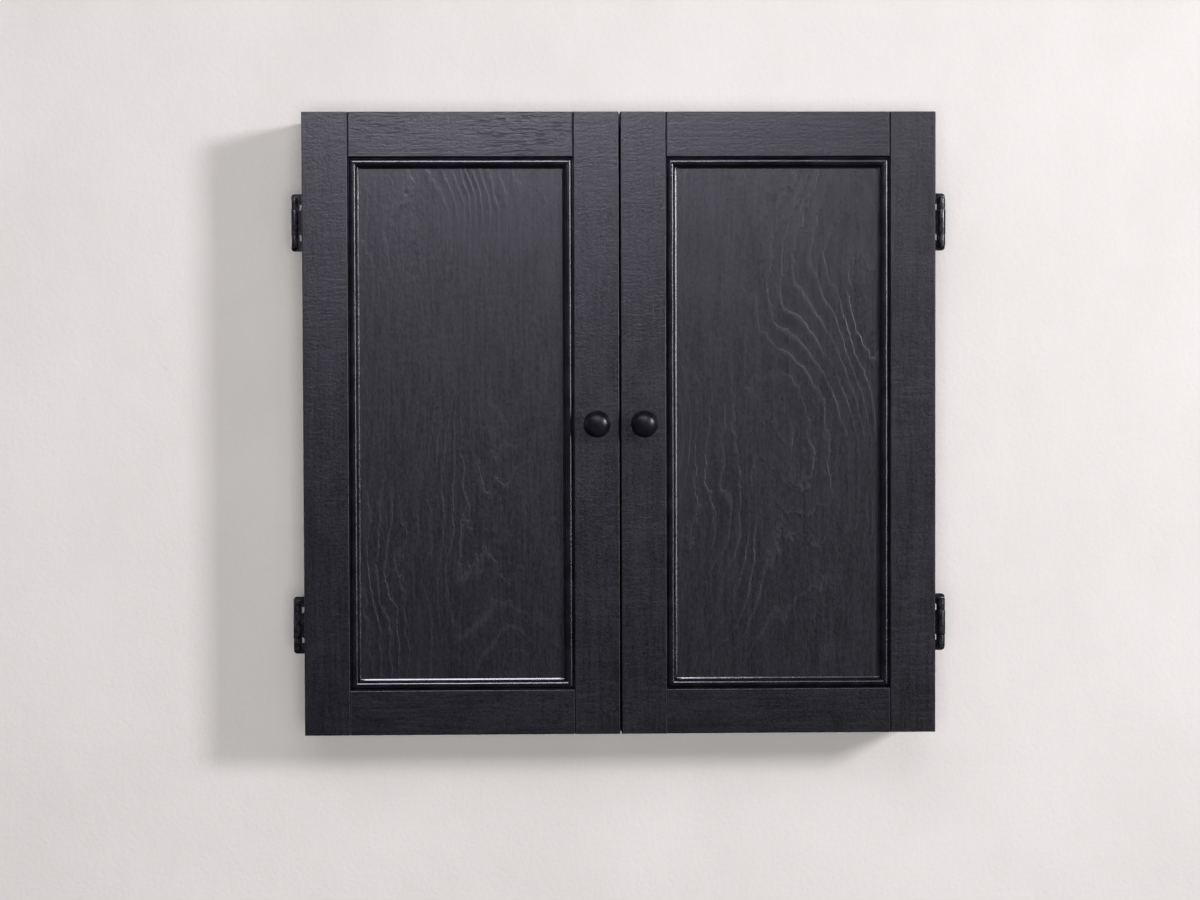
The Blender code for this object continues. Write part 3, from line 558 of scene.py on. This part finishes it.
def turned(profile, segments):
    """A bmesh turned about Z from (radius, height) points that run from axis to axis."""
    bm = bmesh.new()
    verts = [bm.verts.new((radius, 0, height)) for radius, height in profile]
    edges = [bm.edges.new(pair) for pair in zip(verts, verts[1:])]
    bmesh.ops.spin(
        bm, geom=verts + edges, axis=(0, 0, 1), cent=(0, 0, 0), angle=math.tau, steps=segments
    )
    bmesh.ops.remove_doubles(bm, verts=bm.verts, dist=1e-6)
    bmesh.ops.recalc_face_normals(bm, faces=bm.faces)
    return bm


def arc(centre, radius, start, end, steps):
    points = []
    for index in range(steps + 1):
        angle = math.radians(start + (end - start) * index / steps)
        points.append((centre[0] + radius * math.cos(angle), centre[1] + radius * math.sin(angle)))
    return points


def facing(bm, place, direction):
    """Turns a bmesh drawn about Z to point along direction, at place."""
    spin = Vector((0, 0, 1)).rotation_difference(Vector(direction)).to_matrix().to_4x4()
    bmesh.ops.transform(bm, matrix=Matrix.Translation(place) @ spin, verts=bm.verts)
    return bm


def knob_finish():
    material, place = start_finish("knob_satin_black")
    peel = speckle(place, 700, detail=2.0)
    rub = speckle(place, 90, detail=3.0)
    values = {
        "Base Color": blend_colours(rise(rub, 0.35, 0.65), KNOB_DEEP, KNOB_LIGHT),
        "Roughness": 0.26 + rub * 0.10,
        "Specular Tint": KNOB_TINT,
        "Normal": relief(peel, 0.00006),
    }
    return end_finish(material, place, values)


knob_black = knob_finish()
sheen_linking = bpy.data.objects["sheen"].light_linking
sheen_linking.blocker_collection = bpy.data.collections.new("not_shaded_by_knobs")
strip_linking = bpy.data.objects["strip"].light_linking
knob_flags = (
    sheen_linking.receiver_collection,
    sheen_linking.blocker_collection,
    strip_linking.receiver_collection,
)
for door in ("left", "right"):
    low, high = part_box(f"{door}_knob")
    radius = (high.x - low.x) / 2
    length = high.y - low.y
    foot, neck, rim, cap = radius * 0.59, radius * 0.43, radius * 0.22, length * 0.46
    under = length - cap
    profile = [(0, 0), (foot, 0)]
    profile += arc((foot - 0.001, 0.002), 0.001, 0, 90, 4)
    profile += arc((foot, 0.003 + foot - neck), foot - neck, 270, 180, 8)
    profile += arc((neck + 0.0024, under - 0.0028), 0.0024, 180, 100, 6)
    profile += arc((radius - rim, under + rim), rim, -80, 62, 12)
    crown_run, crown_start = profile[-1]
    for index in range(1, 19):
        angle = math.pi / 2 * index / 18
        rising = crown_start + (length - crown_start) * math.sin(angle)
        profile.append((max(crown_run * math.cos(angle), 0.0), rising))
    profile[-1] = (0, length)
    centre = ((low.x + high.x) / 2, high.y, (low.z + high.z) / 2)
    knob_bm = facing(turned(profile, KNOB_SEGMENTS), centre, (0, -1, 0))
    knob = mesh_piece(f"{door}_turned_knob", knob_bm, knob_black, 45)
    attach(knob, f"{door}_door")
    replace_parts(knob, f"{door}_knob")
    for flag in knob_flags:
        flag.objects.link(knob)
        flag.collection_objects[-1].light_linking.link_state = "EXCLUDE"

# ------------------------------------------------------------------ screws
# Zinc-plated steel screws with crossed recesses: pan heads through the meeting stiles and
# the board bracket, and small flat heads in the hinge leaves, racks and keyhole plates.
RECESS_WIDTH_SHARE = 0.24
RECESS_REACH_SHARE = 0.62
HEAD_RIM_SHARE = 0.35
PAN_HEAD = (0.004, 0.0022)  # radius and height
PAN_SHANK = 0.0019


def zinc_finish(name, pale, deep, rough):
    material, place = start_finish(name)
    cloud = speckle(place, 500, detail=3.0)
    brushed = speckle(place, 1500, (1, 1, 0.1), detail=2.0)
    colour = blend_colours(rise(cloud, 0.3, 0.7), pale, deep)
    values = {
        "Base Color": colour,
        "Metallic": 1.0,
        "Roughness": rough + cloud * 0.15,
        "Normal": relief(brushed * 0.5 + cloud, 0.00004),
    }
    return end_finish(material, place, values)


def screw_mesh(name, head_radius, head_height, shank_radius, shank_length, material):
    """A screw about Z with its head's seat at 0, its shank below, and a cross cut in the head."""
    profile = [(0, head_height)]
    for index in range(1, 9):
        angle = math.pi / 2 * index / 8
        share = HEAD_RIM_SHARE + (1 - HEAD_RIM_SHARE) * math.cos(angle)
        profile.append((head_radius * math.sin(angle), head_height * share))
    profile += [(head_radius, 0), (shank_radius, 0)]
    profile += [(shank_radius, -shank_length + shank_radius), (0, -shank_length)]
    head = mesh_piece(name, turned(profile, 28), material, 35)
    cross = bmesh.new()
    for turned_by in (0, 90):
        arm = bmesh.new()
        bmesh.ops.create_cone(
            arm,
            cap_ends=True,
            segments=4,
            radius1=head_radius * RECESS_REACH_SHARE * 0.45,
            radius2=head_radius * RECESS_REACH_SHARE * 1.4,
            depth=head_height * 1.5,
        )
        bmesh.ops.rotate(arm, verts=arm.verts, matrix=Matrix.Rotation(math.radians(45), 3, "Z"))
        bmesh.ops.scale(arm, verts=arm.verts, vec=(1, RECESS_WIDTH_SHARE, 1))
        bmesh.ops.rotate(
            arm, verts=arm.verts, matrix=Matrix.Rotation(math.radians(turned_by), 3, "Z")
        )
        bmesh.ops.translate(arm, verts=arm.verts, vec=(0, 0, head_height))
        held = bpy.data.meshes.new("arm")
        arm.to_mesh(held)
        arm.free()
        cross.from_mesh(held)
        bpy.data.meshes.remove(held)
    cutter = mesh_piece(name + "_recess", cross, material)
    cutting = head.modifiers.new("recess", "BOOLEAN")
    cutting.operation = "DIFFERENCE"
    cutting.use_self = True
    cutting.object = cutter
    evaluated = head.evaluated_get(bpy.context.evaluated_depsgraph_get())
    mesh = bpy.data.meshes.new_from_object(evaluated)
    bpy.data.objects.remove(cutter)
    bpy.data.objects.remove(head)
    return mesh


def set_screw(name, mesh, place, direction, body):
    screw = bpy.data.objects.new(name, mesh)
    bpy.context.scene.collection.objects.link(screw)
    screw.location = place
    screw.rotation_mode = "QUATERNION"
    screw.rotation_quaternion = Vector((0, 0, 1)).rotation_difference(Vector(direction))
    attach(screw, body)
    return screw


zinc = zinc_finish("zinc_plate", (0.62, 0.62, 0.60, 1), (0.44, 0.44, 0.43, 1), 0.28)
for node, direction, body in (
    ("left_knob_screw", (0, 1, 0), "left_door"),
    ("right_knob_screw", (0, 1, 0), "right_door"),
    ("left_bracket_screw", (0, -1, 0), "cabinet"),
    ("right_bracket_screw", (0, -1, 0), "cabinet"),
):
    low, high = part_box(node)
    length = high.y - low.y - PAN_HEAD[1]
    seat = high.y - PAN_HEAD[1] if direction[1] > 0 else low.y + PAN_HEAD[1]
    mesh = screw_mesh(node + "_mesh", *PAN_HEAD, PAN_SHANK, length, zinc)
    place = ((low.x + high.x) / 2, seat, (low.z + high.z) / 2)
    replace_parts(set_screw(node + "_finished", mesh, place, direction, body), node)

# ------------------------------------------------------------------ hinges
# Butterfly hinges of pressed steel, enamelled black: one leaf wraps the side board, the other
# is screwed to the back of the door, and a domed pin holds their three knuckles.
HINGE_EASE = 0.00022
BARREL_LENGTH = 0.048
BARREL_MIDDLE_LENGTH = 0.0252
BARREL_RADIUS = 0.0034
MIDDLE_RADIUS = 0.0037
KNUCKLE_GAP = 0.0004
KNUCKLE_ROUND = 0.0005
FLAT_HEAD = (0.0028, 0.0007)
FLAT_SHANK = (0.0014, 0.0009)  # what shows of a short screw: radius and length
LEG_SCREW = (0.0055, 0.017)  # in from the leg's end, and from the hinge's middle
LEAF_SCREW = (0.0052, 0.012)
ENAMEL_DEEP = (0.005, 0.005, 0.007, 1.0)
ENAMEL_WORN = (0.060, 0.060, 0.066, 1.0)


def enamel_finish(name, deep, worn, rough):
    material, place = start_finish(name)
    cloud = speckle(place, 160, detail=4.0)
    peel = speckle(place, 900, detail=2.0)
    rubbed = worn_edges(place) * rise(speckle(place, 420, detail=3.0), 0.42, 0.60)
    colour = blend_colours(rise(cloud, 0.3, 0.7) * 0.4 + rubbed * 0.6, deep, worn)
    values = {
        "Base Color": colour,
        "Roughness": rough + cloud * 0.14 - rubbed * 0.06,
        "Metallic": rubbed * 0.5,
        "Normal": relief(peel * 0.6 + cloud, 0.00007),
    }
    return end_finish(material, place, values)


def knuckle(name, start, end, radius, centre, body):
    """One knuckle with rounded rims, turned about the upright pin at centre."""
    profile = [(0, start), (radius - KNUCKLE_ROUND, start)]
    profile += arc((radius - KNUCKLE_ROUND, start + KNUCKLE_ROUND), KNUCKLE_ROUND, -90, 0, 4)
    profile += arc((radius - KNUCKLE_ROUND, end - KNUCKLE_ROUND), KNUCKLE_ROUND, 0, 90, 4)
    profile += [(0, end)]
    barrel = mesh_piece(name, facing(turned(profile, 40), centre, (0, 0, 1)), enamel, 50)
    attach(barrel, body)


enamel = enamel_finish("hinge_enamel", ENAMEL_DEEP, ENAMEL_WORN, 0.16)
small_screw = screw_mesh("flat_head_mesh", *FLAT_HEAD, *FLAT_SHANK, enamel)
for door, side in (("left", -1), ("right", 1)):
    for level in ("top", "bottom"):
        hinge = f"{door}_{level}"
        for part in ("frame_wing", "door_wing", "hinge_pin"):
            eased_copy(f"{hinge}_{part}", HINGE_EASE, enamel, 50)
        centre = sum(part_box(f"{hinge}_hinge_pin"), Vector()) / 2
        half, half_middle = BARREL_LENGTH / 2, BARREL_MIDDLE_LENGTH / 2
        for which, start, end, radius, body in (
            ("lower", -half, -half_middle - KNUCKLE_GAP, BARREL_RADIUS, "cabinet"),
            ("middle", -half_middle, half_middle, MIDDLE_RADIUS, f"{door}_door"),
            ("upper", half_middle + KNUCKLE_GAP, half, BARREL_RADIUS, "cabinet"),
        ):
            knuckle(f"{hinge}_{which}_knuckle", start, end, radius, centre, body)
        low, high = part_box(f"{hinge}_frame_wing")
        leg_face = min(low.x * side, high.x * side)
        leg_rear = high.y
        middle = (low.z + high.z) / 2
        low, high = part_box(f"{hinge}_door_wing")
        leaf_end = min(low.x * side, high.x * side)
        leaf_rear = high.y
        for step in (-1, 1):
            place = (side * leg_face, leg_rear - LEG_SCREW[0], middle + step * LEG_SCREW[1])
            name = f"{hinge}_leg_screw_{step + 2}"
            set_screw(name, small_screw, place, (-side, 0, 0), "cabinet")
            place = (side * (leaf_end + LEAF_SCREW[0]), leaf_rear, middle + step * LEAF_SCREW[1])
            name = f"{hinge}_leaf_screw_{step + 2}"
            set_screw(name, small_screw, place, (0, 1, 0), f"{door}_door")

# ------------------------------------------------------------------ box
# The shallow box behind the doors: four boards of veneered ply, butted, glued and sprayed with
# the doors. Their edges are lipped and lightly rubbed.
BOX_EASE = 0.0006
BOX_FLECKS = 0.15
for index, (node, grain) in enumerate(
    (("left_side", "Z"), ("right_side", "Z"), ("top_board", "X"), ("bottom_board", "X"))
):
    lacquer = frame_finish(f"{node}_lacquer", grain, 31.0 + index * 2.3, BOX_FLECKS)
    eased_copy(node, BOX_EASE, lacquer)

# ------------------------------------------------------------------ back
# Thin black-stained plywood, screwed over two sawn pine rails and a batten that lie on the
# wall. Two zinc keyhole plates are let into the upper rail.
SAWN_EASE = 0.0007
PLYWOOD_EASE = 0.0003
PLATE_EASE = 0.00015
PLATE_HEAD = (0.0026, 0.0004)
PLATE_SCREW_RISE = 0.0185
PINE_PALE = (0.62, 0.43, 0.24, 1.0)
PINE_DARK = (0.40, 0.23, 0.10, 1.0)
STAIN_DEEP = (0.014, 0.014, 0.016, 1.0)
STAIN_LIGHT = (0.034, 0.033, 0.035, 1.0)


def pine_finish(name, grain, seed):
    material, place = start_finish(name)
    along = (0.06, 1, 1) if grain == "X" else (1, 1, 0.06)
    shift = (seed, seed * 0.6, seed * 1.7)
    ring_noise = speckle(place, 34, along, shift, detail=2.0)
    rings = place.node("Math", {"operation": "FRACT"}, {0: ring_noise * 9})
    latewood = rise(rings, 0.45, 0.92) - rise(rings, 0.94, 1.0)
    fibres = speckle(place, 800, along, shift, detail=4.0)
    saw = speckle(place, 300, (1, 1, 0.1) if grain == "X" else (0.1, 1, 1), shift, detail=1.0)
    values = {
        "Base Color": blend_colours(latewood * 0.6 + fibres * 0.35, PINE_PALE, PINE_DARK),
        "Roughness": 0.62 + fibres * 0.2,
        "Normal": relief(fibres * 0.4 + saw * 0.5 + latewood * 0.3, 0.0003),
    }
    return end_finish(material, place, values)


def plywood_finish():
    material, place = start_finish("back_plywood_stain")
    fibres = speckle(place, 600, (1, 1, 0.04), detail=4.0)
    flame = speckle(place, 8, (1, 1, 0.25), (4, 1, 2), detail=3.0)
    rings = place.node("Math", {"operation": "FRACT"}, {0: flame * 9})
    line = rise(rings, 0.6, 0.9) - rise(rings, 0.9, 1.0)
    values = {
        "Base Color": blend_colours(line * 0.22 + fibres * 0.5, STAIN_DEEP, STAIN_LIGHT),
        "Roughness": 0.52 + fibres * 0.2,
        "Normal": relief(fibres * 0.5 + line * 0.3, 0.0002),
    }
    return end_finish(material, place, values)


eased_copy("back_panel", PLYWOOD_EASE, plywood_finish())
for index, (node, grain) in enumerate(
    (("hanging_rail", "X"), ("lower_rail", "X"), ("centre_batten", "Z"))
):
    pine = pine_finish(f"{node}_pine", grain, 3.1 + index * 4.4)
    eased_copy(node, SAWN_EASE, pine)
plate_screw = screw_mesh("plate_screw_mesh", *PLATE_HEAD, *FLAT_SHANK, zinc)
for side in ("left", "right"):
    node = f"{side}_keyhole_plate"
    eased_copy(node, PLATE_EASE, zinc)
    low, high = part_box(node)
    middle = (low + high) / 2
    for step in (-1, 1):
        place = (middle.x, high.y - PLATE_HEAD[1], middle.z + step * PLATE_SCREW_RISE)
        set_screw(f"{node}_screw_{step + 2}", plate_screw, place, (0, 1, 0), "cabinet")

# ------------------------------------------------------------------ board bracket and spacers
# A folded steel bracket, powder-coated black, whose open slot takes the screw in the dart
# board's back. Three rubber pads stuck to the plywood keep the board from rocking.
BRACKET_EASE = 0.0004
POWDER_DEEP = (0.020, 0.020, 0.021, 1.0)
POWDER_WORN = (0.070, 0.070, 0.072, 1.0)
RUBBER_DEEP = (0.014, 0.014, 0.014, 1.0)
RUBBER_BLOOM = (0.030, 0.029, 0.028, 1.0)

powder = enamel_finish("bracket_powder_coat", POWDER_DEEP, POWDER_WORN, 0.45)
eased_copy("board_bracket", BRACKET_EASE, powder, 50)


def rubber_finish():
    material, place = start_finish("black_rubber")
    bloom = speckle(place, 120, detail=4.0)
    grit = speckle(place, 1400, detail=2.0)
    values = {
        "Base Color": blend_colours(rise(bloom, 0.3, 0.7), RUBBER_DEEP, RUBBER_BLOOM),
        "Roughness": 0.72 + bloom * 0.15,
        "Normal": relief(grit, 0.0001),
    }
    return end_finish(material, place, values)


def rubber_pad(node, direction, body):
    """A moulded pad with a rounded shoulder, in the place of its plain CAD disc."""
    low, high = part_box(node)
    radius = (high.x - low.x) / 2
    height = high.y - low.y
    shoulder = min(height * 0.35, radius * 0.3)
    dished = height - shoulder * 0.3
    profile = [(0, 0), (radius, 0)]
    profile += arc((radius - shoulder, height - shoulder), shoulder, 0, 90, 8)
    profile += [(radius * 0.55, height), (radius * 0.5, dished), (0, dished)]
    base = low.y if direction[1] > 0 else high.y
    place = ((low.x + high.x) / 2, base, (low.z + high.z) / 2)
    bm = facing(turned(profile, 48), place, direction)
    pad = mesh_piece(node + "_moulded", bm, rubber, 45)
    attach(pad, body)
    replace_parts(pad, node)


rubber = rubber_finish()
for node in [name for name in frame["nodes"] if name.startswith("board_spacer")]:
    rubber_pad(node, (0, -1, 0), "cabinet")
for door in ("left", "right"):
    for end in ("top", "bottom"):
        rubber_pad(f"{door}_{end}_bumper", (0, 1, 0), f"{door}_door")

# ------------------------------------------------------------------ scoreboards
# Hardboard painted with blackboard paint, glued in the recess on the back of each door. Old
# chalk has been wiped across it.
SCOREBOARD_EASE = 0.0004
SLATE_BLACK = (0.020, 0.024, 0.023, 1.0)
CHALK_DUST = (0.21, 0.22, 0.21, 1.0)


def slate_finish():
    material, place = start_finish("slate_board_paint")
    wiped = speckle(place, 7, (0.7, 1, 1), (0, 0, 3), detail=2.0)
    smear = speckle(place, 150, (0.07, 1, 1), (2, 0, 0), detail=4.0, roughness=0.65)
    grit = speckle(place, 1200, detail=2.0)
    chalk = rise(wiped * 0.6 + smear * 0.4, 0.42, 0.68)
    values = {
        "Base Color": blend_colours(chalk * 0.16, SLATE_BLACK, CHALK_DUST),
        "Roughness": 0.70 + chalk * 0.15,
        "Normal": relief(grit, 0.00012),
    }
    return end_finish(material, place, values)


slate = slate_finish()
for door in ("left", "right"):
    eased_copy(f"{door}_scoreboard", SCOREBOARD_EASE, slate)

# ------------------------------------------------------------------ dart racks
# A solid wood rack low on the back of each door: a back plate screwed to the bottom rail and a
# shelf with three notches for the darts. Sprayed black with the rest.
RACK_EASE = 0.0007
RACK_HEAD = (0.0034, 0.0012)
RACK_SHANK = (0.0017, 0.001)
RACK_SCREW_REACH = 0.036
RACK_PLATE = (0.004, 0.011)  # the back plate's thickness, and how high its screws are

rack_screw = screw_mesh("rack_screw_mesh", *RACK_HEAD, *RACK_SHANK, zinc)
for index, door in enumerate(("left", "right")):
    node = f"{door}_dart_rack"
    lacquer = frame_finish(f"{node}_lacquer", "X", 51.0 + index * 3.3)
    eased_copy(node, RACK_EASE, lacquer)
    low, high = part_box(node)
    middle = (low.x + high.x) / 2
    for step in (-1, 1):
        place = (middle + step * RACK_SCREW_REACH, low.y + RACK_PLATE[0], low.z + RACK_PLATE[1])
        set_screw(f"{node}_screw_{step + 2}", rack_screw, place, (0, 1, 0), f"{door}_door")
